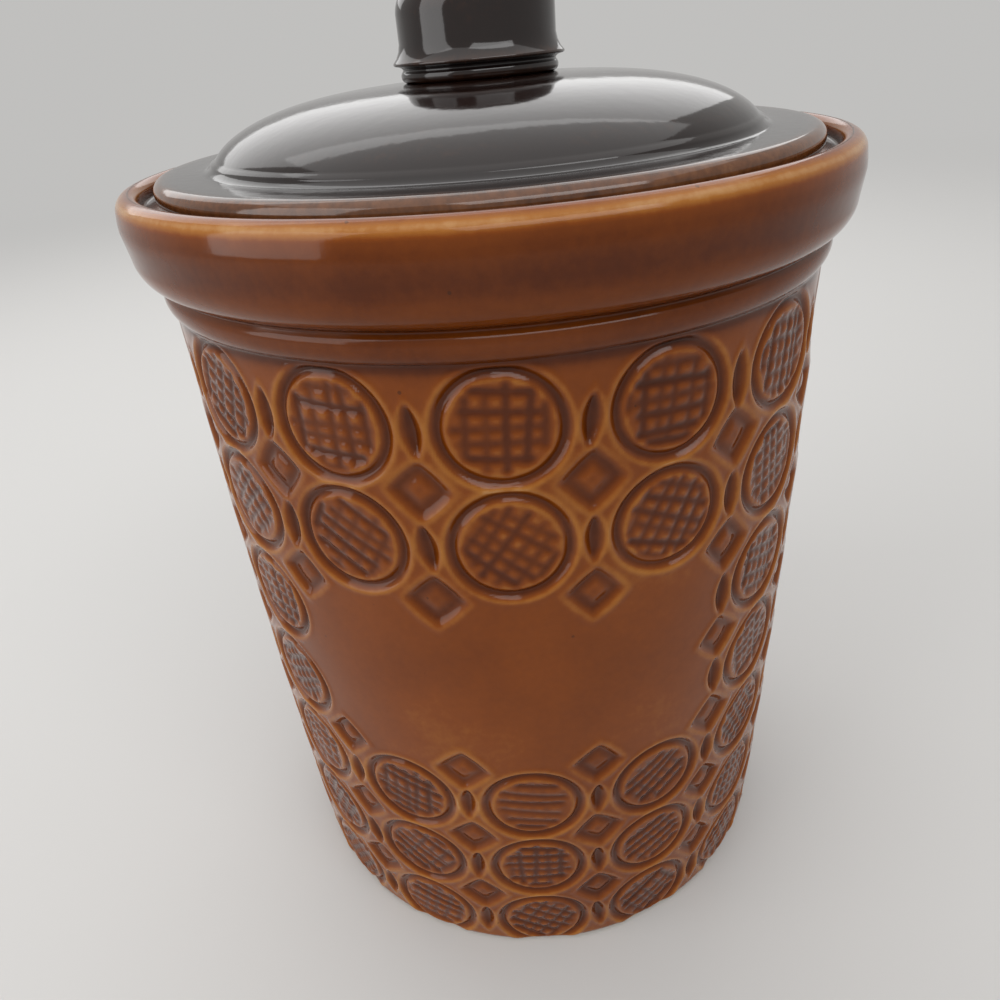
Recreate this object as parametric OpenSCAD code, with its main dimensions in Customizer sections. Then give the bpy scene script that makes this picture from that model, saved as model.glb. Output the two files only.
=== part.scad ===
// Lidded stoneware crock for steeping fruit: a straight pot with a moulded
// pattern, a heavy collar with an inner seat, and a domed lid with a knob.
// Millimetres, +Z up, origin at the middle of the foot, front towards -Y.

/* [Pot] */
// Height of the pot from its foot to the top of the lip
pot_h = 261; // [230:1:300]
// Diameter across the collar, the widest part
collar_d = 214.4; // [208:0.2:230]
// Diameter across the belly
belly_d = 200.8; // [190:0.2:204]
// Height of the widest line of the belly
belly_z = 140; // [110:1:160]
// Diameter at the base
base_d = 195.2; // [185:0.2:200]
// Thickness of the wall
wall = 7.4; // [6:0.1:9]
// Height of the inside floor above the table
floor_z = 9; // [7:0.5:12]
// Width of the unglazed ring that the pot stands on
foot_w = 9; // [6:0.5:14]
// Depth of the hollow inside that ring
foot_h = 2.5; // [1:0.5:4]

/* [Collar] */
// Height of the groove under the collar, below the lip
collar_h = 24; // [20:1:30]
// Height of the bead under that groove
bead_h = 8.3; // [6:0.1:10]
// How far the bead stands out from the wall
bead_out = 2.2; // [1:0.1:3]
// Depth of the seat for the lid, below the lip
seat_drop = 5; // [4:0.5:8]
// Diameter of the wall round the seat
seat_d = 201; // [198:0.5:204]
// Diameter of the mouth inside the seat
mouth_d = 183; // [176:0.5:186]

/* [Relief] */
// Number of ovals round the pot
columns = 15; // [12:1:15]
// Number of rows of ovals
rows = 7; // [4:1:7]
// Height of the lowest row's middle
first_row_z = 15; // [12:0.1:20]
// Distance from one row to the next
row_pitch = 33.3; // [32:0.1:34]
// How much lower the top row sits, to clear the bead
top_row_drop = 1.2; // [0:0.1:2]
// Outer diameter of the groove round an oval
ring_d = 31; // [26:0.5:32]
// Diameter of the raised pad inside that groove
pad_d = 26; // [20:0.2:29]
// Point to point size of a diamond's groove
diamond_d = 15.6; // [12:0.2:17]
// Point to point size of the stud inside a diamond
stud_d = 7.4; // [5:0.2:9]
// Length of a leaf-shaped dimple
leaf_l = 13.8; // [10:0.2:16]
// Width of a leaf-shaped dimple
leaf_w = 4.8; // [3:0.2:6]
// Depth of the dimples and of the diamonds
relief_depth = 1.6; // [0.8:0.1:2]
// Depth of the groove at the sides of an oval, where it is shallowest
groove_depth = 0.8; // [0.4:0.1:1.2]

/* [Bare panel] */
// First row of the bare panel, counted from the lowest
panel_row = 3; // [0:1:5]
// Number of rows that the bare panel covers
panel_rows = 2; // [0:1:3]
// Ovals left out on each side of the middle one
panel_side = 1; // [0:1:3]

/* [Lid] */
// Diameter of the lid over its flange
flange_d = 192.8; // [188:0.2:196]
// Thickness of the flange
flange_t = 6.8; // [5:0.1:8]
// Diameter of the dome where it rises from the flange
dome_d = 160; // [150:1:170]
// Height of the dome above the flange
dome_h = 16.5; // [12:0.5:26]
// Thickness of the dome
dome_t = 6; // [5:0.5:8]
// Height of the locating ring under the flange
spigot_h = 8; // [5:0.5:12]
// Gap between the locating ring and the mouth
spigot_gap = 1.5; // [1:0.1:3]
// Gap left between the lid and its seat
seat_gap = 0.2; // [0.1:0.1:0.5]

/* [Knob] */
// Diameter of the grip
knob_d = 45; // [36:0.5:50]
// Height of the knob above the dome
knob_h = 25; // [18:0.5:32]
// Radius of the knob's top edge
knob_round = 9; // [4:0.5:12]
// Diameter of the sharp ring round the knob's base
knob_ring_d = 49.6; // [46:0.2:54]

/* [Hidden] */
$fn = 180;

belly_r = belly_d / 2;
base_r = base_d / 2;
collar_r = collar_d / 2;
seat_r = seat_d / 2;
mouth_r = mouth_d / 2;
flange_r = flange_d / 2;
dome_r = dome_d / 2;
seat_z = pot_h - seat_drop;
groove_z = pot_h - collar_h;
bead_z = groove_z - bead_h;
step = 360 / columns;
lid_z = seat_z + seat_gap;
dome_z = lid_z + flange_t;

// Outside radius of the wall at height z: a shallow curve from base to belly to neck
function wall_r(z) = belly_r - (belly_r - base_r) * pow((z - belly_z) / belly_z, 2);

// Height of the middle of a row
function row_z(row) = first_row_z + row * row_pitch - (row == rows - 1 ? top_row_drop : 0);

// Points of an arc about [cx, cz], from angle a to angle b
function arc(cx, cz, r, a, b, n = 8) =
    [for (i = [0:n]) [cx + r * cos(a + (b - a) * i / n), cz + r * sin(a + (b - a) * i / n)]];

// Points up the outside of the wall, one span for each row, set in by a depth
function wall_line(z0, z1, inset = 0, n = rows) =
    [for (i = [0:n]) let (z = z0 + (z1 - z0) * i / n) [wall_r(z) - inset, z]];

// Whether the pattern is there, at a column and a row counted in whole or half steps
function in_panel(col, row) =
    abs(col) <= panel_side + (col < 0 ? 0.5 : 0)
    && row >= panel_row && row <= panel_row + panel_rows - 1;

// Turns a whole number of columns into -half..+half of the way round
function wrap(col) = col > columns / 2 ? col - columns : col;

foot_round = 4;
bead_r = 6.5;
bead_rise = 5.4;
collar_under = 9;
lip_out_r = 4;
lip_in_r = 2;
ledge_round = 2;
corner_r = 14;

// Outline of the pot's outside, from the foot up to the lip
function outside_line() = concat(
    arc(wall_r(foot_round) - foot_round, foot_round, foot_round, -90, 0),
    wall_line(row_z(0) - row_pitch / 2 + foot_round + 2, bead_z),
    arc(wall_r(bead_z) + bead_out - bead_r, bead_z + bead_rise, bead_r, -50, 25),
    [[wall_r(bead_z) + 0.9, groove_z]],
    arc(collar_r - 0.8 - collar_under, groove_z + collar_under, collar_under, -60, 0),
    [[collar_r, pot_h - 8]],
    arc(collar_r - 0.5 - lip_out_r, pot_h - lip_out_r, lip_out_r, 0, 90));

// Outline of the inside, from the lip down past the lid's seat to the floor
function inside_line() = concat(
    arc(seat_r + lip_in_r, pot_h - lip_in_r, lip_in_r, 90, 180),
    [[seat_r, seat_z]],
    arc(mouth_r + ledge_round, seat_z - ledge_round, ledge_round, 90, 180),
    [[mouth_r, groove_z]],
    [for (i = [0:4]) let (z = bead_z - (bead_z - floor_z - corner_r) * i / 4) [wall_r(z) - wall, z]],
    arc(wall_r(floor_z + corner_r) - wall - corner_r, floor_z + corner_r, corner_r, 0, -90),
    [[0, floor_z]]);

// Outline of the foot: a flat ring round a shallow hollow
function foot_line() =
    let (r = wall_r(foot_round) - foot_round - foot_w)
    [[0, foot_h], [r - foot_h, foot_h], [r, 0]];

module pot_body() {
    rotate_extrude()
        polygon(concat(foot_line(), outside_line(), inside_line()));
}

// Slope of the wall at height z, in degrees from upright
function wall_tilt(z) = atan(-2 * (belly_r - base_r) * (z - belly_z) / (belly_z * belly_z));

// How far the round wall falls away at a distance x from a line up its front
function wall_drop(x) = belly_r - sqrt(belly_r * belly_r - x * x);

// Stands a cutter square on the wall at a column and a row, with +Z outwards
module on_wall(col, row) {
    rotate([0, 0, col * step])
        translate([0, -wall_r(row_z(row)), row_z(row)])
            rotate([90 + wall_tilt(row_z(row)), 0, 0])
                children();
}

// A flat-floored round groove that leaves a flat pad standing inside it
module oval_groove() {
    floor_d = wall_drop(ring_d / 2) + groove_depth;
    pad_drop = wall_drop(pad_d / 2);
    difference() {
        translate([0, 0, -floor_d]) cylinder(d = ring_d, h = floor_d + 4, $fn = 48);
        translate([0, 0, -floor_d - 1]) cylinder(d = pad_d, h = floor_d + 1 - pad_drop, $fn = 48);
    }
}

// A square groove set on its corner, with a stud standing inside it
module diamond_groove() {
    difference() {
        translate([0, 0, -relief_depth]) cylinder(d = diamond_d, h = relief_depth + 4, $fn = 4);
        translate([0, 0, -relief_depth - 1]) cylinder(d = stud_d, h = relief_depth + 0.7, $fn = 4);
    }
}

// A dimple with the outline of a leaf, where two circles overlap
module leaf_dimple() {
    r = (leaf_l * leaf_l / leaf_w + leaf_w) / 4;
    translate([0, 0, -relief_depth])
        linear_extrude(height = relief_depth + 4)
            intersection() {
                translate([leaf_w / 2 - r, 0]) circle(r = r, $fn = 64);
                translate([r - leaf_w / 2, 0]) circle(r = r, $fn = 64);
            }
}

// The moulded pattern: ovals in columns, leaves between them, diamonds between four
module relief() {
    for (i = [0:columns - 1], row = [0:rows - 1]) {
        col = wrap(i);
        gap = wrap(i + 0.5);
        if (!in_panel(col, row)) on_wall(col, row) oval_groove();
        if (!in_panel(gap, row)) on_wall(gap, row) leaf_dimple();
        if (row < rows - 1 && !in_panel(gap, row + 0.5)) on_wall(gap, row + 0.5) diamond_groove();
    }
}

module pot() {
    color("#8a4f1e")
        difference() {
            pot_body();
            relief();
        }
}

edge_r = 3;
fillet = 3;
knob_r = knob_d / 2;
knob_ring_r = knob_ring_d / 2;
knob_seat_r = knob_r - 1;

// Angle along the dome's curve at which it is r from the axis, for a dome of radius big
function dome_angle(r, big) = acos(pow(r / big, 1 / 0.62));

// Height of the dome's curve above the flange at that angle, for a dome of height h
function dome_rise(t, h) = h * pow(sin(t), 1.2);

// The dome's outline: steep at the foot, a rounded shoulder, nearly flat on top
function dome_line(big, h, a, b, n = 14) =
    [for (i = [0:n]) let (t = a + (b - a) * i / n) [big * pow(cos(t), 0.62), dome_z + dome_rise(t, h)]];

knob_z = dome_z + dome_rise(dome_angle(knob_seat_r, dome_r), dome_h);

module lid() {
    spigot_r = mouth_r - spigot_gap;
    hollow_r = spigot_r - 5;
    under_r = hollow_r - 6;
    under_h = dome_h - dome_t;
    color("#1b1411")
        rotate_extrude()
            polygon(concat(
                [[hollow_r, lid_z - spigot_h], [spigot_r - 1.5, lid_z - spigot_h]],
                [[spigot_r, lid_z - spigot_h + 1.5], [spigot_r, lid_z]],
                arc(flange_r - edge_r, lid_z + edge_r, edge_r, -90, 0),
                arc(flange_r - edge_r, dome_z - edge_r, edge_r, 0, 90),
                arc(dome_r + fillet, dome_z + fillet, fillet, -90, -150, 4),
                dome_line(dome_r, dome_h, 8, dome_angle(knob_seat_r, dome_r)),
                [[0, knob_z], [0, dome_z + under_h]],
                dome_line(under_r, under_h, dome_angle(12, under_r), 20),
                arc(under_r, lid_z + 2, 6, 60, 0, 4)));
}

module knob() {
    top_z = knob_z + knob_h;
    color("#1b1411")
        rotate_extrude()
            polygon(concat(
                [[0, knob_z]],
                arc(knob_r - 1, knob_z + 1.6, 1.6, -90, 60, 6),
                [[knob_r - 0.6, knob_z + 3.9], [knob_ring_r, knob_z + 4.9]],
                [[knob_r + 0.8, knob_z + 7], [knob_r, knob_z + 9]],
                arc(knob_r - knob_round, top_z - knob_round, knob_round, 0, 80),
                [[0, top_z + 0.4]]));
}

pot();
lid();
knob();
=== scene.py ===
# %% [markdown]
# A lidded stoneware crock
#
# The crock is three pieces of fired clay: a straight pot with a pattern moulded into its wall,
# a domed lid that sits in a seat inside the pot's collar, and a knob stuck on the lid.
# Everything about its look is clay and glaze: where the glaze runs thick it is dark, where it
# thins over an edge it is light. So the shapes come first, and each one carries a map of how
# thick its glaze lies.

# %% Load the frame
import math

import bmesh
import bpy
import numpy as np
from mathutils import Matrix, Vector


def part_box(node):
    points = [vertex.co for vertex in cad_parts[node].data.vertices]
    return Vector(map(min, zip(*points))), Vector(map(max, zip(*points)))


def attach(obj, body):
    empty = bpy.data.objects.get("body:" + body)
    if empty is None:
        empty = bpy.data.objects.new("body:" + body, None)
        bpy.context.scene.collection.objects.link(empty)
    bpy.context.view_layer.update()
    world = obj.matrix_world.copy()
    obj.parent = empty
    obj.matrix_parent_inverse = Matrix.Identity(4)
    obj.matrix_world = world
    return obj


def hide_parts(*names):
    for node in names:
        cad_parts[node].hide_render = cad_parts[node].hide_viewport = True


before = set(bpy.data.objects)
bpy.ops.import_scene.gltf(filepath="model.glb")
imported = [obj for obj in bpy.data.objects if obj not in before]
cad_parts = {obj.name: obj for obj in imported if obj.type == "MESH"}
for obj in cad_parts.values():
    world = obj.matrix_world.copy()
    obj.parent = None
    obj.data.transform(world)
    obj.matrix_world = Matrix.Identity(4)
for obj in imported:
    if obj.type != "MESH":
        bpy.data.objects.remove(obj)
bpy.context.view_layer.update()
MM = 0.001

# %% [markdown]
# The sizes come from the frame where it has them. The pot's box gives the height of the lip and
# the radius of the collar, the lid's box gives the flange. The rest are the pot's own driving
# dimensions, in millimetres, the same ones that the solids were made from.

# %% Sizes from the frame
_, pot_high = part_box("pot")
_, lid_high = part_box("lid")
knob_low, knob_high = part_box("knob")
pot_h = pot_high.z / MM
collar_r = pot_high.x / MM
flange_r = lid_high.x / MM
knob_z = knob_low.z / MM
knob_top = knob_high.z / MM
LID_SUNK = 4.8
lid_z = pot_h - LID_SUNK
print(f"lip {pot_h:.1f}, collar radius {collar_r:.1f}, flange radius {flange_r:.1f} mm")

belly_r, belly_z, base_r = 100.4, 140.0, 97.6
wall, floor_z = 7.4, 9.0
collar_h, bead_h, bead_out = 24.0, 8.3, 2.2
bead_r, bead_rise = 6.5, 5.4
seat_drop, seat_r, mouth_r = 5.0, 100.5, 91.5
foot_round, foot_w, foot_h = 4.0, 9.0, 2.5
groove_z = pot_h - collar_h
bead_z = groove_z - bead_h
seat_z = pot_h - seat_drop


def wall_r(z):
    """Outside radius of the wall at height z: a shallow curve, widest at the belly."""
    return belly_r - (belly_r - base_r) * ((z - belly_z) / belly_z) ** 2


# %% [markdown]
# Every piece is round, so every piece is turned: an outline of radius and height is spun about
# the upright axis, as a potter's template shapes clay on a wheel. The outlines are built from
# arcs and straight runs, so the helpers here return lists of points in millimetres. A long spin
# is slow, because every step walks over the whole mesh, so one fifteenth of the turn is spun
# finely and that slice is then spun round as copies.

# %% Outlines and the lathe
def arc(cx, cz, r, start, end, count=10):
    """Points of an arc about (cx, cz), from one angle in degrees to another."""
    turns = [math.radians(start + (end - start) * i / count) for i in range(count + 1)]
    return [(cx + r * math.cos(t), cz + r * math.sin(t)) for t in turns]


def run(start, end, count=4):
    """Points of a straight run, without its two ends."""
    shares = [i / count for i in range(1, count)]
    step_r, step_z = end[0] - start[0], end[1] - start[1]
    return [(start[0] + step_r * s, start[1] + step_z * s) for s in shares]


SLICES = 15


def spin_outline(outline, steps, closed=False):
    """Spins an outline in millimetres all the way round, and returns the bmesh in metres."""
    shape = bmesh.new()
    ring = [shape.verts.new((r * MM, 0, z * MM)) for r, z in outline]
    pairs = list(zip(ring, ring[1:]))
    if closed:
        pairs.append((ring[-1], ring[0]))
    edges = [shape.edges.new(pair) for pair in pairs]
    slice_turn = math.tau / SLICES
    upright = dict(cent=(0, 0, 0), axis=(0, 0, 1), dvec=(0, 0, 0), use_merge=False)
    bmesh.ops.spin(shape, geom=ring + edges, angle=slice_turn, steps=steps // SLICES,
                   use_duplicate=False, **upright)
    bmesh.ops.spin(shape, geom=shape.verts[:] + shape.edges[:] + shape.faces[:],
                   angle=math.tau - slice_turn, steps=SLICES - 1, use_duplicate=True, **upright)
    bmesh.ops.remove_doubles(shape, verts=shape.verts, dist=1e-6)
    bmesh.ops.recalc_face_normals(shape, faces=shape.faces)
    return shape


def make_piece(name, shape):
    """Turns a bmesh into a smooth-shaded object at the origin."""
    mesh = bpy.data.meshes.new(name)
    shape.to_mesh(mesh)
    shape.free()
    mesh.shade_smooth()
    piece = bpy.data.objects.new(name, mesh)
    bpy.context.scene.collection.objects.link(piece)
    return piece


def read_points(mesh):
    """The vertices of a mesh as an array, in millimetres."""
    flat = np.empty(len(mesh.vertices) * 3)
    mesh.vertices.foreach_get("co", flat)
    return flat.reshape(-1, 3) / MM


def write_points(mesh, points):
    """Puts the vertices of a mesh back from an array in millimetres."""
    mesh.vertices.foreach_set("co", (points * MM).ravel())
    mesh.update()


def write_glaze(mesh, values):
    """Stores how thick the glaze lies at each vertex, from 0, bare edge, to 1, pooled."""
    layer = mesh.attributes.new("glaze", "FLOAT", "POINT")
    layer.data.foreach_set("value", np.clip(values, 0, 1))


# %% [markdown]
# Nothing thrown or cast is perfectly round. Slow waves of a tenth of a millimetre are too small
# to see in the outline, but they bend the reflections in the gloss, which is what makes a glazed
# surface look like clay and not like turned plastic. Each wave is given by how many lobes it has
# round the pot, its height and its size. The glaze map comes from the outline: molten glaze runs
# off a sharp edge and gathers in a corner.

# %% Slow waves in the clay, and the glaze along an outline
WAVES = ((2, 210, 0.10), (3, 140, 0.08), (5, 75, 0.06),
         (9, 42, 0.04), (16, 60, 0.03), (29, 38, 0.014))


def clay_wave(turn, z, seed):
    """Slow unevenness in millimetres, never above 0, at an angle in radians and a height."""
    chance = np.random.default_rng(seed)
    total = np.zeros(np.broadcast(turn, z).shape)
    for lobes, tall, size in WAVES:
        a, b = chance.uniform(0, math.tau, 2)
        total += size * (np.sin(lobes * turn + a) * np.sin(math.tau * z / tall + b) - 1)
    return total


FLOW = 1.7
SHARPEST = 1.2


def glaze_along(outline, base, pull=1.5):
    """Glaze thickness along an outline: a sharp bend outwards thins it, a hollow gathers it."""
    p = np.array(outline)
    before, after = p[1:-1] - p[:-2], p[2:] - p[1:-1]
    cross = before[:, 0] * after[:, 1] - before[:, 1] * after[:, 0]
    bend = np.arctan2(cross, (before * after).sum(1))
    place = np.concatenate([[0], np.cumsum(np.hypot(*np.diff(p, axis=0).T))])
    far = (place[:, None] - place[None, 1:-1]) / FLOW
    spread = np.exp(-far ** 2 / 2) / (FLOW * math.sqrt(math.tau))
    return base - pull * (spread * np.clip(bend, -SHARPEST, SHARPEST)).sum(1)


# %% [markdown]
# A turned piece takes its glaze from the nearest point of its outline, and then its waves. They
# die out near the axis and at the foot, so that the piece still stands flat.

# %% Turn a whole piece
CHUNK = 4000
STILL_R, FREE_R = 10, 30
STILL_Z, FREE_Z = 1, 7


def turn_piece(name, outline, steps, glaze, seed, wave=1.0):
    """Spins an outline into a finished piece with slow waves and a map of its glaze."""
    piece = make_piece(name, spin_outline(outline, steps))
    points = read_points(piece.data)
    radius = np.hypot(points[:, 0], points[:, 1])
    line = np.array(outline)
    near = []
    for i in range(0, len(radius), CHUNK):
        away_r = radius[i:i + CHUNK, None] - line[:, 0]
        away_z = points[i:i + CHUNK, 2, None] - line[:, 1]
        near.append((away_r ** 2 + away_z ** 2).argmin(1))
    write_glaze(piece.data, glaze[np.concatenate(near)])
    turn = np.arctan2(points[:, 0], -points[:, 1])
    fade = np.clip((radius - STILL_R) / (FREE_R - STILL_R), 0, 1)
    fade *= np.clip((points[:, 2] - STILL_Z) / (FREE_Z - STILL_Z), 0, 1)
    inward = clay_wave(turn, points[:, 2], seed) * wave * fade
    points[:, :2] *= ((radius + inward) / np.maximum(radius, 1e-6))[:, None]
    write_points(piece.data, points)
    print(f"{name}: {len(piece.data.polygons)} faces")
    return piece


# %% [markdown]
# The wall's pattern is a lattice. Ovals stand in columns round the pot, with a leaf-shaped dimple
# between each two neighbours and a square pit, set on its corner, between each four. The master
# was cut by hand: no two ovals have the same turn or the same scratches. So each motif is looked
# up by its column and row, and its small differences come from a seeded draw.

# %% The lattice
COLUMNS, ROWS = 15, 7
first_row_z, row_pitch, top_row_drop = 15.0, 33.3, 1.2
STEP = math.tau / COLUMNS
PANEL_ROWS = (3, 4)
PANEL_SIDE = 1


def row_z(row):
    """Height of the middle of a row, counted from the lowest."""
    return first_row_z + row * row_pitch - (top_row_drop if row == ROWS - 1 else 0)


def in_panel(col, row):
    """True where the bare front panel takes the place of the pattern."""
    side = PANEL_SIDE + (0.5 if col < 0 else 0)
    return abs(col) <= side and PANEL_ROWS[0] <= row <= PANEL_ROWS[1]


def around(count, offset=0.0):
    """Columns from one side of the back to the other, 0 at the front."""
    return [i + offset - (count if i + offset > count / 2 else 0) for i in range(count)]


ovals = [(c, r) for r in range(ROWS) for c in around(COLUMNS) if not in_panel(c, r)]
leaves = [(c, r) for r in range(ROWS) for c in around(COLUMNS, 0.5) if not in_panel(c, r)]
diamonds = [(c, r + 0.5) for r in range(ROWS - 1) for c in around(COLUMNS, 0.5)
            if not in_panel(c, r + 0.5)]
print(len(ovals), "ovals,", len(leaves), "leaves,", len(diamonds), "diamonds")

# %% [markdown]
# The pattern is a height field: for every point of the wall, how far the surface lies below the
# smooth clay. It is worked out once for the whole wall, on a grid fine enough to hold a scratch
# a millimetre wide, and the meshes take their vertices from it afterwards. A quarter turn is a
# whole number of the grid's steps, because the spin starts a quarter turn from the front and
# every vertex has to fall on a column of the grid.

# %% The grid of the wall
TURNS = COLUMNS * 72
CELL = 0.6
RIDGE_HIGH, RIDGE_AWAY, RIDGE_WIDE = 0.3, 0.75, 0.85
foot_cx = wall_r(foot_round) - foot_round
neck_r = wall_r(bead_z)
bead_cx = neck_r + bead_out - bead_r
notch_r = neck_r + 1.07
COVE_R = 1.2
wall_heights = np.linspace(foot_round, bead_z - 0.3, int((bead_z - foot_round) / CELL))
wall_line = (
    arc(foot_cx, foot_round, foot_round, -84, -4, 9)
    + [(wall_r(z), z) for z in wall_heights]
    + arc(neck_r + COVE_R, bead_z, COVE_R, 176, 134, 4)
    + arc(bead_cx, bead_z + bead_rise, bead_r, -42, 14, 14)
    + [(neck_r + 1.82, groove_z - 0.95), (neck_r + 1.55, groove_z - 0.6)]
    + [(neck_r + 1.28, groove_z - 0.3), (notch_r, groove_z + 0.05)]
)
line_r, line_z = np.array(wall_line).T
turn_at = np.arange(TURNS) * math.tau / TURNS
sunk = np.zeros((len(line_z), TURNS))
ridge = np.zeros_like(sunk)
scored = np.zeros_like(sunk)
print("grid of", sunk.shape, "points")


def patch(col, row, reach):
    """The rows and columns of the grid round a motif, and their distances from its middle."""
    z, count = row_z(row), int(reach / (belly_r * math.tau / TURNS)) + 2
    rows = np.flatnonzero(np.abs(line_z - z) < reach)
    steps = np.arange(-count, count + 1)
    cols = (int(round(col * TURNS / COLUMNS)) + steps) % TURNS
    across = steps * math.tau / TURNS * wall_r(z)
    up = line_z[rows] - z
    return np.ix_(rows, cols), across[None, :], up[:, None]


def turned(across, up, degrees):
    """Distances seen from a motif turned about its own middle."""
    c, s = math.cos(math.radians(degrees)), math.sin(math.radians(degrees))
    return across * c + up * s, up * c - across * s


def soft(x, low, high):
    """A smooth climb from 0 at low to 1 at high."""
    t = np.clip((x - low) / (high - low), 0, 1)
    return t * t * (3 - 2 * t)


def blur(field, times):
    """Spreads a field over its neighbours: it wraps round the pot and stops at top and bottom."""
    for _ in range(times):
        field = (field + np.roll(field, 1, 1) + np.roll(field, -1, 1)) / 3
        padded = np.pad(field, ((1, 1), (0, 0)), mode="edge")
        field = (padded[:-2] + padded[1:-1] + padded[2:]) / 3
    return field


def raise_ridge(where, beyond):
    """A low rounded ridge round a motif, from the distance in millimetres beyond its edge."""
    raised = RIDGE_HIGH * np.exp(-((beyond - RIDGE_AWAY) / RIDGE_WIDE) ** 2)
    ridge[where] = np.maximum(ridge[where], raised)


# %% [markdown]
# An oval is a groove with a pad left standing inside it, and a low ridge thrown up outside it. The
# pad is scored both ways with a blunt tool, and the strokes wander: each has its own slant, depth
# and length. Where the photograph shows an oval's scoring plainly, the turn of its strokes is
# given, and the others are drawn.

# %% Ovals
GROOVE_OUT, GROOVE_IN = 16.6, 13.2
GROOVE_DEEP, PAD_SUNK = 1.5, 0.2
STROKE_GAP, STROKE_HALF = 4.2, 1.0
SCORING_TURN = {(0, 6): 3, (0, 5): 38, (1, 5): 24, (1, 6): 4, (-1, 6): 2, (-1, 5): 34, (2, 6): 2,
                (0, 2): 8, (0, 1): 2, (0, 0): 32, (1, 2): -38, (1, 1): -30, (1, 0): -34,
                (-1, 2): 16, (-1, 1): 38, (-1, 0): 12, (2, 5): -8, (2, 4): 15, (2, 3): -12}
COMBED_ONE_WAY = {(0, 2)}
OVAL_REACH = 20
OVAL_TALL, TOP_OVAL_TALL = 0.955, 0.93
SCORED_R, SHORTEST, STROKE_END = 12.4, 3, 1.8
STROKE_DEEP, COMBED_DEEP, CROSS_DEEP = 0.88, 0.25, (0.66, 0.84)


def strokes(chance, across, up, radius, gap, deep):
    """Depth of one set of parallel strokes, scored by hand."""
    count = int(radius / gap) + 1
    lines = np.arange(-count, count + 1) * gap + chance.uniform(-0.3, 0.3) * gap
    total = np.zeros(np.broadcast(across, up).shape)
    for line in lines:
        slant = math.radians(chance.normal(0, 2.4))
        off = line + chance.normal(0, 0.3)
        half = math.sqrt(max(radius ** 2 - off ** 2, 0)) * chance.uniform(0.9, 1.03)
        shift = chance.uniform(-0.7, 0.7)
        weight = deep * chance.uniform(0.6, 1.15)
        bow = chance.uniform(-0.004, 0.004)
        if half < SHORTEST:
            continue
        away = up - off - math.tan(slant) * across - bow * across ** 2
        ends = soft(half - np.abs(across - shift), 0, STROKE_END)
        total = np.maximum(total, weight * ends * np.exp(-(away / STROKE_HALF) ** 2))
    return total


for col, row in ovals:
    chance = np.random.default_rng(1000 + int(col + 20) * 31 + row)
    where, across, up = patch(col + chance.normal(0, 0.004), row, OVAL_REACH)
    wide = 1 + chance.normal(0, 0.012)
    tall = (TOP_OVAL_TALL if row == ROWS - 1 else OVAL_TALL) + chance.normal(0, 0.012)
    lobe = chance.uniform(0, math.tau)
    angle = np.arctan2(up, across)
    uneven = 1 + 0.008 * np.sin(2 * angle + lobe) + 0.006 * np.sin(3 * angle)
    out = np.hypot(across / wide, up / tall) * uneven
    middle, half = (GROOVE_OUT + GROOVE_IN) / 2, (GROOVE_OUT - GROOVE_IN) / 2
    groove = np.clip(1 - ((out - middle) / half) ** 2, 0, 1) ** 1.15
    turn = SCORING_TURN.get((col, row), chance.uniform(-45, 45))
    reach = SCORED_R + chance.normal(0, 0.25)
    a, b = turned(across, up, -turn)
    marks = strokes(chance, a, b, reach, STROKE_GAP * chance.uniform(0.92, 1.06), STROKE_DEEP)
    cross = COMBED_DEEP if (col, row) in COMBED_ONE_WAY else chance.uniform(*CROSS_DEEP)
    a, b = turned(across, up, 90 - turn + chance.normal(0, 4))
    crossing = strokes(chance, a, b, reach, STROKE_GAP * chance.uniform(0.95, 1.12), cross)
    marks = np.maximum(marks, crossing) * soft(GROOVE_IN + 0.1 - out, 0, 1.0)
    sunk[where] += GROOVE_DEEP * groove + PAD_SUNK * soft(GROOVE_IN - out, 0, 1.5)
    scored[where] += marks
    raise_ridge(where, out - GROOVE_OUT)

# %% [markdown]
# A leaf is a narrow lens pressed deep into the clay. A diamond is a shallow square pit, set on its
# corner: its floor swells a little towards the middle, where there is a small dent.

# %% Leaves and diamonds
LEAF_HALF_LONG, LEAF_HALF_WIDE, LEAF_DEEP = 7.4, 2.6, 1.7
DIAMOND_HALF, DIAMOND_DEEP, DIAMOND_POWER = 8.6, 1.35, 1.18
SWELL_HIGH, DENT_DEEP = 0.95, 0.2
LEAF_REACH, DIAMOND_REACH = 11, 12
RIDGE_LEAN = 0.7

for col, row in leaves:
    chance = np.random.default_rng(5000 + int(2 * col + 40) * 31 + row)
    where, across, up = patch(col, row, LEAF_REACH)
    u, v = turned(across, up + chance.normal(0, 0.4), chance.normal(0, 3))
    long = LEAF_HALF_LONG * chance.uniform(0.92, 1.06)
    side = LEAF_HALF_WIDE * chance.uniform(0.9, 1.1) * np.clip(1 - (v / long) ** 2, 0, 1)
    lens = np.clip(1 - (u / np.maximum(side, 0.05)) ** 2, 0, 1) * (np.abs(v) < long)
    sunk[where] += LEAF_DEEP * lens ** 1.1 * np.clip(1 - (v / long) ** 4, 0, 1)
    raise_ridge(where, np.abs(u) - side + np.clip(np.abs(v) - long, 0, None) * RIDGE_LEAN)

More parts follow.
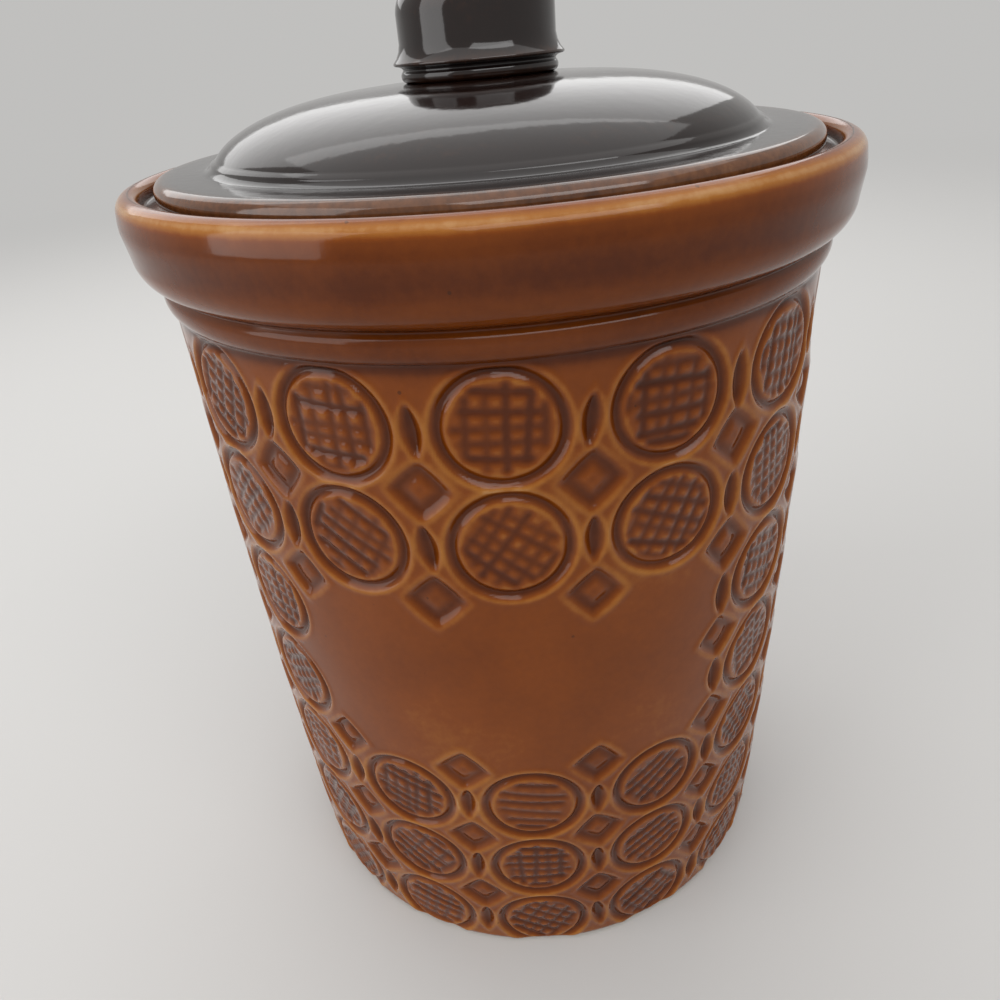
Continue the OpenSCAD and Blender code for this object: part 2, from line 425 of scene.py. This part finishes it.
for col, row in diamonds:
    chance = np.random.default_rng(9000 + int(2 * col + 40) * 31 + int(2 * row))
    where, across, up = patch(col, row, DIAMOND_REACH)
    u, v = turned(across, up + chance.normal(0, 0.3), chance.normal(0, 4))
    half = DIAMOND_HALF * chance.uniform(0.95, 1.04)
    square = np.abs(u / half) ** DIAMOND_POWER + np.abs(v / half) ** DIAMOND_POWER
    square = square ** (1 / DIAMOND_POWER)
    pit = soft(1 - square, 0, 0.32)
    swell = SWELL_HIGH * soft(0.62 - square, 0, 0.45) - DENT_DEEP * soft(0.2 - square, 0, 0.2)
    sunk[where] += DIAMOND_DEEP * pit - swell * chance.uniform(0.6, 1.15)
    raise_ridge(where, (square - 1) * half * RIDGE_LEAN)

# %% [markdown]
# The three layers now become one. The ridges are left out where the surface is already cut away,
# and both layers are softened by one step, as the glaze that fills them does. The pattern fades
# out at the foot and just under the bead, so that it cuts into neither.

# %% The finished field
CUT_AWAY = 0.5
scored = blur(scored, 1)
sunk = blur(sunk - ridge * np.clip(1 - sunk / CUT_AWAY, 0, 1), 1) + scored
foot_fade = soft(line_z, 0.3, 2.5)
bead_fade = 1 - soft(line_z, bead_z - 1.2, bead_z + 0.2)
fade = (foot_fade * bead_fade)[:, None]
sunk *= fade
scored *= fade
print(f"deepest point {sunk.max():.2f} mm, highest ridge {-sunk.min():.2f} mm")

# %% [markdown]
# The glaze map of the wall follows the same field. Molten glaze runs off the crests and gathers
# in the hollows, so its thickness is a base value, more where the surface is sunk, and less where
# the field bends outwards sharply.

# %% Glaze on the wall
level = blur(sunk, 5)
crest = np.clip(level - sunk, 0, 1)
hollow = np.clip(sunk - level, 0, 1)
PLAIN_WALL, SUNK_POOL, HOLLOW_POOL, STROKE_POOL, CREST_THIN = 0.45, 0.14, 0.26, 0.24, 0.52
wall_glaze = (PLAIN_WALL + SUNK_POOL * sunk + HOLLOW_POOL * hollow + STROKE_POOL * scored
              - CREST_THIN * crest)
profile_glaze = np.clip(glaze_along(wall_line, 0.0), -0.05, 0.35)
bead_pool = 0.2 * soft(line_z, bead_z - 2.5, bead_z + 1)
wall_glaze += (profile_glaze + bead_pool)[:, None]

# %% [markdown]
# One mesh this fine would be too heavy for a single piece, so the wall is turned as seven rings,
# one for each row of ovals. Neighbouring rings take their shared edge from the same line of the
# grid, and all normals are worked out from the whole wall, so no joint shows in the gloss.

# %% The wall's surface and normals
POT_SEED = 11
STILL_FOOT = 6
waves = clay_wave(turn_at[None, :], line_z[:, None], POT_SEED)
waves *= np.clip(line_z / STILL_FOOT, 0, 1)[:, None]
slope_r = np.gradient(line_r)
slope_z = np.gradient(line_z)
along = np.hypot(slope_r, slope_z)
out_r, out_z = slope_z / along, -slope_r / along
depth = sunk - waves
surface_r = line_r[:, None] - depth * out_r[:, None]
surface_z = line_z[:, None] - depth * out_z[:, None]
surface = np.stack([surface_r * np.sin(turn_at), -surface_r * np.cos(turn_at), surface_z], -1)
round_way = np.roll(surface, -1, 1) - np.roll(surface, 1, 1)
up_way = np.gradient(surface, axis=0)
facing = np.cross(round_way, up_way)
facing /= np.linalg.norm(facing, axis=-1, keepdims=True)
BACK = 3.0


def wall_ring(name, first, last):
    """One ring of the wall, from a line of the grid up to another, closed by a plain back."""
    front = [(line_r[i], line_z[i]) for i in range(first, last + 1)]
    back_r = min(line_r[first], line_r[last], wall_r(line_z[last])) - BACK
    outline = front + [(back_r, front[-1][1]), (back_r, front[0][1])]
    ring = make_piece(name, spin_outline(outline, TURNS, closed=True))
    points = read_points(ring.data)
    radius = np.hypot(points[:, 0], points[:, 1])
    is_front = radius > back_r + 0.2
    turn = np.arctan2(points[:, 0], -points[:, 1]) % math.tau
    step = turn / math.tau * TURNS
    column = np.round(step).astype(int) % TURNS
    line = first + np.abs(points[:, 2, None] - line_z[None, first:last + 1]).argmin(1)
    points[is_front] = surface[line, column][is_front]
    write_points(ring.data, points)
    write_glaze(ring.data, wall_glaze[line, column])
    normals = np.where(is_front[:, None], facing[line, column], 0)
    ring.data.normals_split_custom_set_from_vertices(normals.tolist())
    smallest = min(face.area for face in ring.data.polygons) / MM ** 2
    off_grid = np.abs(step - np.round(step)).max()
    print(f"{name}: {len(ring.data.polygons)} faces, the smallest {smallest:.3f} mm2,",
          f"off the grid by {off_grid:.4f} steps")
    return ring


between_rows = [row_z(row) + row_pitch / 2 for row in range(ROWS - 1)]
cuts = [0] + [int(np.abs(line_z - z).argmin()) for z in between_rows] + [len(line_z) - 1]
wall_rings = [wall_ring(f"wall_row_{i + 1}", cuts[i], cuts[i + 1]) for i in range(ROWS)]

# %% [markdown]
# The rest of the pot is one turned body: the foot with its hollow, the inside, the seat for the
# lid, and the collar. Its outside runs 3 mm behind the patterned rings and comes out above them,
# in the groove under the collar, where a dark line hides the change.

# %% Foot, collar and inside
COLLAR_UNDER = 9.0
LIP_OUT, LIP_IN = 4.2, 2.2
CORNER = 14.0
foot_in = foot_cx - foot_w

skin_r = neck_r - BACK - 0.1
skin_foot = (foot_cx + 0.4, 2.0)

foot_line = (
    [(0, foot_h), (foot_in - 6, foot_h)]
    + arc(foot_in - 3, foot_h - 1.5, 1.5, 90, 30, 3)
    + [(foot_in - 0.6, 0.25), (foot_in, 0.05), (foot_in + 0.8, 0)]
    + [(foot_cx, 0), (foot_cx + 0.4, 0.02)]
)
skin_line = (
    [skin_foot] + run(skin_foot, (skin_r, bead_z), 6)
    + [(skin_r, groove_z - 2.0), (notch_r - 0.4, groove_z - 1.4), (notch_r - 0.06, groove_z - 0.7)]
)
collar_line = (
    [(notch_r, groove_z), (notch_r + 0.04, groove_z + 0.25), (notch_r + 0.22, groove_z + 0.55)]
    + [(notch_r + 0.6, groove_z + 0.85), (notch_r + 1.1, groove_z + 1.05)]
    + arc(collar_r - 0.8 - COLLAR_UNDER, groove_z + COLLAR_UNDER, COLLAR_UNDER, -58, 0, 14)
    + run((collar_r - 0.8, groove_z + COLLAR_UNDER), (collar_r, pot_h - 8), 3)
    + [(collar_r, pot_h - 8), (collar_r - 0.15, pot_h - 6)]
    + arc(collar_r - 0.5 - LIP_OUT, pot_h - LIP_OUT, LIP_OUT, 4, 90, 14)
    + arc(seat_r + LIP_IN, pot_h - LIP_IN, LIP_IN, 90, 180, 8)
)
seat_line = (
    arc(seat_r - 1.2, seat_z + 1.2, 1.2, 0, -90, 5)
    + run((seat_r - 1.2, seat_z), (mouth_r + 2, seat_z), 3)
    + arc(mouth_r + 2, seat_z - 2, 2.0, 90, 180, 8)
    + run((mouth_r, seat_z - 2), (mouth_r, groove_z), 4)
    + [(mouth_r, groove_z)]
)
corner_z = floor_z + CORNER
corner_r = wall_r(corner_z) - wall - CORNER
inside_line = [(wall_r(z) - wall, z) for z in np.linspace(bead_z, corner_z, 18)]
inside_line += arc(corner_r, corner_z, CORNER, 0, -90, 14)[1:]
inside_line += run(inside_line[-1], (0, floor_z), 6) + [(0, floor_z)]
crock_line = foot_line + skin_line + collar_line + seat_line + inside_line
crock_heights = np.array(crock_line)[:, 1]
PLAIN_CROCK, LIP_THIN, RIM_THIN = 0.7, 0.34, 0.2
RIM = 0.8
crock_glaze = glaze_along(crock_line, PLAIN_CROCK)
crock_glaze -= LIP_THIN * soft(crock_heights, pot_h - 4.5, pot_h - RIM)
crock_glaze -= RIM_THIN * soft(crock_heights, pot_h - RIM, pot_h)
crock_body = turn_piece("crock_body", crock_line, 480, crock_glaze, POT_SEED)

# %% [markdown]
# The lid is a flat flange with a shallow dome on it. Underneath it is hollow, with a plain ring
# that drops into the mouth and keeps the lid from sliding off. The dome's curve is steep at the
# foot and nearly flat on top. Its outline runs from the ring's inner edge out, over the top to
# the axis, and back along the hollow to where it began, so the spun shape is closed.

# %% Lid
FLANGE_T, EDGE, FILLET = 6.8, 3.0, 3.0
DOME_R, DOME_H, DOME_T = 80.0, 16.5, 6.0
SPIGOT_H, SPIGOT_W = 8.0, 5.0
dome_z = lid_z + FLANGE_T
spigot_r = mouth_r - 1.5
knob_seat = 21.5
hollow_r = spigot_r - SPIGOT_W
PLAIN_DARK = 0.66


def dome_curve(big, tall, start, end, count=40):
    """Points along the dome, by the angle that runs from its foot, 0, to its top, 90."""
    turns = [math.radians(start + (end - start) * i / count) for i in range(count + 1)]
    return [(big * max(math.cos(t), 0) ** 0.62, dome_z + tall * math.sin(t) ** 1.2) for t in turns]


lid_outline = (
    [(hollow_r, lid_z - SPIGOT_H + 1)]
    + arc(hollow_r + 1.2, lid_z - SPIGOT_H + 1.2, 1.2, 180, 270, 4)
    + arc(spigot_r - 1.5, lid_z - SPIGOT_H + 1.5, 1.5, -90, 0, 5)
    + [(spigot_r, lid_z - 1.0), (spigot_r + 0.4, lid_z - 0.1), (spigot_r + 1.2, lid_z)]
    + run((spigot_r + 1.2, lid_z), (flange_r - EDGE, lid_z), 3)
    + arc(flange_r - EDGE, lid_z + EDGE, EDGE, -90, 0, 10)
    + arc(flange_r - EDGE, dome_z - EDGE, EDGE, 0, 90, 10)
    + run((flange_r - EDGE, dome_z), (DOME_R + FILLET, dome_z), 4)
    + arc(DOME_R + FILLET, dome_z + FILLET, FILLET, -90, -160, 7)
    + [p for p in dome_curve(DOME_R, DOME_H, 12, 89) if p[0] > knob_seat - 3]
    + [(0, dome_z + DOME_H - 0.1), (0, dome_z + DOME_H - DOME_T)]
    + dome_curve(hollow_r - 6, DOME_H - DOME_T, 88, 18, 20)
    + arc(hollow_r - 6, lid_z + 1, 6, 60, 0, 5)
    + run((hollow_r, lid_z + 1), (hollow_r, lid_z - SPIGOT_H + 1), 4)
    + [(hollow_r, lid_z - SPIGOT_H + 1)]
)
lid_glaze = glaze_along(lid_outline, PLAIN_DARK, 1.4)
lid_cover = turn_piece("lid_cover", lid_outline, 360, lid_glaze, 23, 0.8)

# %% [markdown]
# The knob is a short fat grip with a rounded top. At its base it flares to a sharp ring, then
# steps in twice, and the last narrow band stands on the dome.

# %% Knob
KNOB_R, KNOB_ROUND, KNOB_RING_R = 22.5, 9.0, 24.8
knob_outline = (
    [(0, knob_z), (KNOB_R - 2.5, knob_z)]
    + arc(KNOB_R - 1.3, knob_z + 1.7, 1.7, -80, 50, 8)
    + [(KNOB_R - 0.25, knob_z + 3.5), (KNOB_R + 0.5, knob_z + 4.0)]
    + arc(KNOB_RING_R - 0.5, knob_z + 4.8, 0.5, -80, 60, 4)
    + [(KNOB_R + 1.2, knob_z + 6.2), (KNOB_R + 0.4, knob_z + 7.8), (KNOB_R, knob_z + 9.6)]
    + arc(KNOB_R - KNOB_ROUND, knob_top - 0.4 - KNOB_ROUND, KNOB_ROUND, 4, 84, 18)
    + [(7, knob_top - 0.12), (0, knob_top)]
)
knob_glaze = glaze_along(knob_outline, PLAIN_DARK, 0.5)
lid_knob = turn_piece("lid_knob", knob_outline, 240, knob_glaze, 31, 0.6)

# %% [markdown]
# A material is a tree of nodes that ends in one shader. The two glazes and the floor share the
# same few steps, so these get short names first: a new material, a ramp of colours, and a Math
# node whose two inputs may be sockets or plain numbers.

# %% Material helpers
def new_material(name):
    """A material with its Principled shader, and a function that adds nodes."""
    material = bpy.data.materials.new(name)
    material.use_nodes = True
    tree = material.node_tree
    shader = tree.nodes["Principled BSDF"]

    def add(kind, **settings):
        node = tree.nodes.new(kind)
        for key, value in settings.items():
            if key in node.inputs:
                node.inputs[key].default_value = value
            else:
                setattr(node, key, value)
        return node

    return material, tree.links.new, shader, add


def ramp(add, stops):
    """A colour ramp with the given (place, colour) stops."""
    node = add("ShaderNodeValToRGB")
    bar = node.color_ramp.elements
    while len(bar) < len(stops):
        bar.new(0.5)
    for stop, (place, colour) in zip(bar, stops):
        stop.position = place
        stop.color = (*colour, 1)
    return node


def math_node(add, link, what, a, b):
    """A Math node on two sockets or numbers."""
    node = add("ShaderNodeMath", operation=what)
    for socket, value in zip(node.inputs, (a, b)):
        if isinstance(value, (int, float)):
            socket.default_value = value
        else:
            link(value, socket)
    return node.outputs[0]


# %% [markdown]
# The honey glaze is transparent amber over pale clay. Its colour comes from the glaze map through
# a ramp, from tan where it is thin to dark brown where it is pooled. Noise in three sizes breaks
# it up: slow clouds from the kiln, fine mottling, and a few dark iron specks. The foot is wiped
# clean of glaze before firing, so below a wavering line near the table the clay is bare. The
# dark glaze of the lid is made the same way: it is almost black, and rust brown on its edges.

# %% Glaze finishes
SPECK_SIZE, SPECK_RARE = 0.11, 0.66
IRON_SPECK = (0.02, 0.009, 0.004, 1)
BARE_CLAY, BARE_ROUGH = (0.42, 0.29, 0.17, 1), 0.85
FOOT_WANDER, FOOT_EDGE = 0.0022, 0.0004
ROUGH_SPREAD = 0.06


def glaze_material(name, stops, clouds, mottle, rough, ior, specks, bare_foot):
    """A glossy glaze whose colour follows the glaze map, with clouds, mottling and specks."""
    material, link, shader, add = new_material(name)
    place = add("ShaderNodeTexCoord").outputs["Object"]
    thick = add("ShaderNodeAttribute", attribute_name="glaze").outputs["Fac"]

    def math2(what, a, b):
        return math_node(add, link, what, a, b)

    slow = add("ShaderNodeTexNoise", Scale=28.0, Detail=3.0, Roughness=0.55)
    fine = add("ShaderNodeTexNoise", Scale=420.0, Detail=4.0, Roughness=0.6)
    link(place, slow.inputs["Vector"])
    link(place, fine.inputs["Vector"])
    total = thick
    for noise, amount in ((slow, clouds), (fine, mottle)):
        centred = math2("SUBTRACT", noise.outputs["Fac"], 0.5)
        total = math2("ADD", total, math2("MULTIPLY", centred, amount))
    colours = ramp(add, stops)
    link(total, colours.inputs["Fac"])
    colour = colours.outputs["Color"]
    spots = add("ShaderNodeTexVoronoi", Scale=230.0)
    link(place, spots.inputs["Vector"])
    chosen = add("ShaderNodeTexNoise", Scale=90.0, Detail=1.0)
    link(place, chosen.inputs["Vector"])
    dot = math2("LESS_THAN", spots.outputs["Distance"], SPECK_SIZE)
    rare = math2("GREATER_THAN", chosen.outputs["Fac"], SPECK_RARE)
    speck = math2("MULTIPLY", math2("MULTIPLY", dot, rare), specks)
    darken = add("ShaderNodeMix", data_type="RGBA")
    link(speck, darken.inputs["Factor"])
    link(colour, darken.inputs["A"])
    darken.inputs["B"].default_value = IRON_SPECK
    colour = darken.outputs["Result"]
    gloss = math2("ADD", rough, math2("MULTIPLY", fine.outputs["Fac"], ROUGH_SPREAD))
    if bare_foot:
        height = add("ShaderNodeSeparateXYZ")
        link(place, height.inputs["Vector"])
        wander = math2("MULTIPLY", slow.outputs["Fac"], FOOT_WANDER)
        edge = math2("SUBTRACT", height.outputs["Z"], wander)
        bare = math2("LESS_THAN", edge, FOOT_EDGE)
        clay = add("ShaderNodeMix", data_type="RGBA")
        link(bare, clay.inputs["Factor"])
        link(colour, clay.inputs["A"])
        clay.inputs["B"].default_value = BARE_CLAY
        colour = clay.outputs["Result"]
        gloss = math2("MAXIMUM", gloss, math2("MULTIPLY", bare, BARE_ROUGH))
    link(colour, shader.inputs["Base Color"])
    link(gloss, shader.inputs["Roughness"])
    shader.inputs["IOR"].default_value = ior
    bump = add("ShaderNodeBump", Strength=0.12, Distance=0.0003)
    skin = add("ShaderNodeTexNoise", Scale=240.0, Detail=2.0, Roughness=0.5)
    link(place, skin.inputs["Vector"])
    link(skin.outputs["Fac"], bump.inputs["Height"])
    link(bump.outputs["Normal"], shader.inputs["Normal"])
    return material


honey_glaze = glaze_material(
    "honey_glaze",
    [(0.0, (0.56, 0.34, 0.16)), (0.2, (0.34, 0.125, 0.02)), (0.42, (0.195, 0.045, 0.0028)),
     (0.72, (0.085, 0.0165, 0.001)), (1.0, (0.032, 0.006, 0.0006))],
    clouds=0.34, mottle=0.14, rough=0.08, ior=1.33, specks=0.5, bare_foot=True)
dark_glaze = glaze_material(
    "dark_glaze",
    [(0.0, (0.27, 0.12, 0.045)), (0.22, (0.14, 0.052, 0.018)), (0.42, (0.035, 0.013, 0.006)),
     (0.6, (0.011, 0.0048, 0.0036)), (1.0, (0.006, 0.0032, 0.003))],
    clouds=0.2, mottle=0.35, rough=0.06, ior=1.52, specks=0.0, bare_foot=False)
print("two glazes")

# %% [markdown]
# Every piece now takes its glaze and its body in the frame, and the solid that it stands for is
# hidden. The lid and the knob ride on the cover, which lifts off, and all the rest rides on the
# crock.

# %% Dress and place the pieces
for piece in [crock_body] + wall_rings:
    piece.data.materials.append(honey_glaze)
    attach(piece, "crock")
    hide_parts("pot")
for piece, node in ((lid_cover, "lid"), (lid_knob, "knob")):
    piece.data.materials.append(dark_glaze)
    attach(piece, "cover")
    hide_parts(node)

# %% [markdown]
# The camera stands where the photograph was taken from: a little above the lip and close, looking
# down at the pot, with the picture tilted. Its place was worked out from the ellipses of the lip,
# the collar and the foot in the photograph. Distances are in millimetres, turns in degrees.

# %% Camera
PHOTO_SIDE = 1000
FOCAL = 750.7
SENSOR = 36
camera_data = bpy.data.cameras.new("camera")
camera_data.sensor_width = SENSOR
camera_data.lens = FOCAL / PHOTO_SIDE * SENSOR
camera_data.clip_start = 0.01
camera = bpy.data.objects.new("camera", camera_data)
bpy.context.scene.collection.objects.link(camera)
stand_off, eye_height, side_step = 250.8, 287.7, 0.99
heading, tilt, roll = 1.276, 31.34, -5.257


def turn_about(degrees, axis):
    """A turn about one axis, as a matrix."""
    return Matrix.Rotation(math.radians(degrees), 4, axis)


aim = turn_about(heading, "Z") @ turn_about(90 - tilt, "X") @ turn_about(roll, "Z")
stand = Matrix.Translation(Vector((0, -stand_off, eye_height)) * MM)
camera.matrix_world = turn_about(side_step, "Z") @ stand @ aim
bpy.context.scene.camera = camera
print("camera at", [round(v, 3) for v in camera.matrix_world.translation])

# %% [markdown]
# The floor is plain and pale. Far from the pot it fades into an even pale tone, and the world has
# the same tone for the camera and for reflections, so that no horizon shows. Only what is seen
# changes: the light on the pot stays that of the lamps and a weak grey world.

# %% Floor and backdrop
FLOOR_COLOUR = (0.56, 0.55, 0.535, 1)
PALE = (0.53, 0.525, 0.515, 1)
ROOM_COLOUR, ROOM_STRENGTH = (0.86, 0.87, 0.88, 1), 0.36
FADE_FROM, FADE_TO = 0.7, 2.2
disc = bmesh.new()
bmesh.ops.create_circle(disc, cap_ends=True, segments=96, radius=9.0)
floor = make_piece("floor", disc)
floor_finish, floor_link, floor_shader, floor_add = new_material("floor_finish")
floor_shader.inputs["Base Color"].default_value = FLOOR_COLOUR
floor_shader.inputs["Roughness"].default_value = 0.6
floor.data.materials.append(floor_finish)


def seen_share(add, link):
    """A socket that is 1 for rays that see the backdrop straight or in a gloss, else 0."""
    ray = add("ShaderNodeLightPath").outputs
    seen = math_node(add, link, "ADD", ray["Is Camera Ray"], ray["Is Glossy Ray"])
    seen = math_node(add, link, "ADD", seen, ray["Is Transmission Ray"])
    return math_node(add, link, "MINIMUM", seen, 1.0)


floor_place = floor_add("ShaderNodeTexCoord").outputs["Object"]
away = floor_add("ShaderNodeVectorMath", operation="LENGTH")
floor_link(floor_place, away.inputs[0])
far = floor_add("ShaderNodeMapRange", interpolation_type="SMOOTHSTEP")
far.inputs["From Min"].default_value = FADE_FROM
far.inputs["From Max"].default_value = FADE_TO
floor_link(away.outputs["Value"], far.inputs["Value"])
even = floor_add("ShaderNodeEmission", Color=PALE)
blend = floor_add("ShaderNodeMixShader")
seen = seen_share(floor_add, floor_link)
share = math_node(floor_add, floor_link, "MULTIPLY", far.outputs["Result"], seen)
floor_link(share, blend.inputs[0])
floor_link(floor_shader.outputs[0], blend.inputs[1])
floor_link(even.outputs[0], blend.inputs[2])
floor_end = floor_finish.node_tree.nodes["Material Output"]
floor_link(blend.outputs[0], floor_end.inputs["Surface"])

world = bpy.data.worlds.new("room")
bpy.context.scene.world = world
world.use_nodes = True
room_light = world.node_tree.nodes["Background"]
room_light.inputs["Color"].default_value = ROOM_COLOUR
room_light.inputs["Strength"].default_value = ROOM_STRENGTH


def add_to_world(kind, **settings):
    """A node in the world's tree, with its settings."""
    node = world.node_tree.nodes.new(kind)
    for key, value in settings.items():
        setattr(node, key, value)
    return node


world_link = world.node_tree.links.new
room_seen = world.node_tree.nodes.new("ShaderNodeBackground")
room_seen.inputs["Color"].default_value = PALE
room_mix = world.node_tree.nodes.new("ShaderNodeMixShader")
world_link(seen_share(add_to_world, world_link), room_mix.inputs[0])
world_link(room_light.outputs[0], room_mix.inputs[1])
world_link(room_seen.outputs[0], room_mix.inputs[2])
world_link(room_mix.outputs[0], world.node_tree.nodes["World Output"].inputs["Surface"])

# %% [markdown]
# A gloss shows the lamps, so they are large soft boxes. One high behind the pot lies along the
# dome as a broad pale window, one overhead lights all of it evenly, one on the left models the
# wall, and one high in front opens the shadows.

# %% Lamps
def soft_box(name, place, target, width, height, watts, colour=(1, 1, 1)):
    """A rectangular area lamp that faces a target, places in metres."""
    lamp = bpy.data.lights.new(name, "AREA")
    lamp.shape = "RECTANGLE"
    lamp.size, lamp.size_y, lamp.energy, lamp.color = width, height, watts, colour
    stand = bpy.data.objects.new(name, lamp)
    bpy.context.scene.collection.objects.link(stand)
    stand.location = place
    stand.rotation_euler = (Vector(target) - Vector(place)).to_track_quat("-Z", "Y").to_euler()


pot_middle = (0, 0, 0.15)
soft_box("window", (-0.3, 1.5, 1.35), pot_middle, 3.0, 1.6, 19)
soft_box("ceiling", (0, -0.1, 1.9), pot_middle, 3.3, 3.0, 26)
soft_box("left_box", (-1.7, -0.8, 0.9), pot_middle, 1.4, 1.8, 17)
soft_box("front_fill", (0.7, -1.6, 1.9), pot_middle, 2.4, 0.9, 20)
bpy.context.scene.view_settings.view_transform = "Standard"
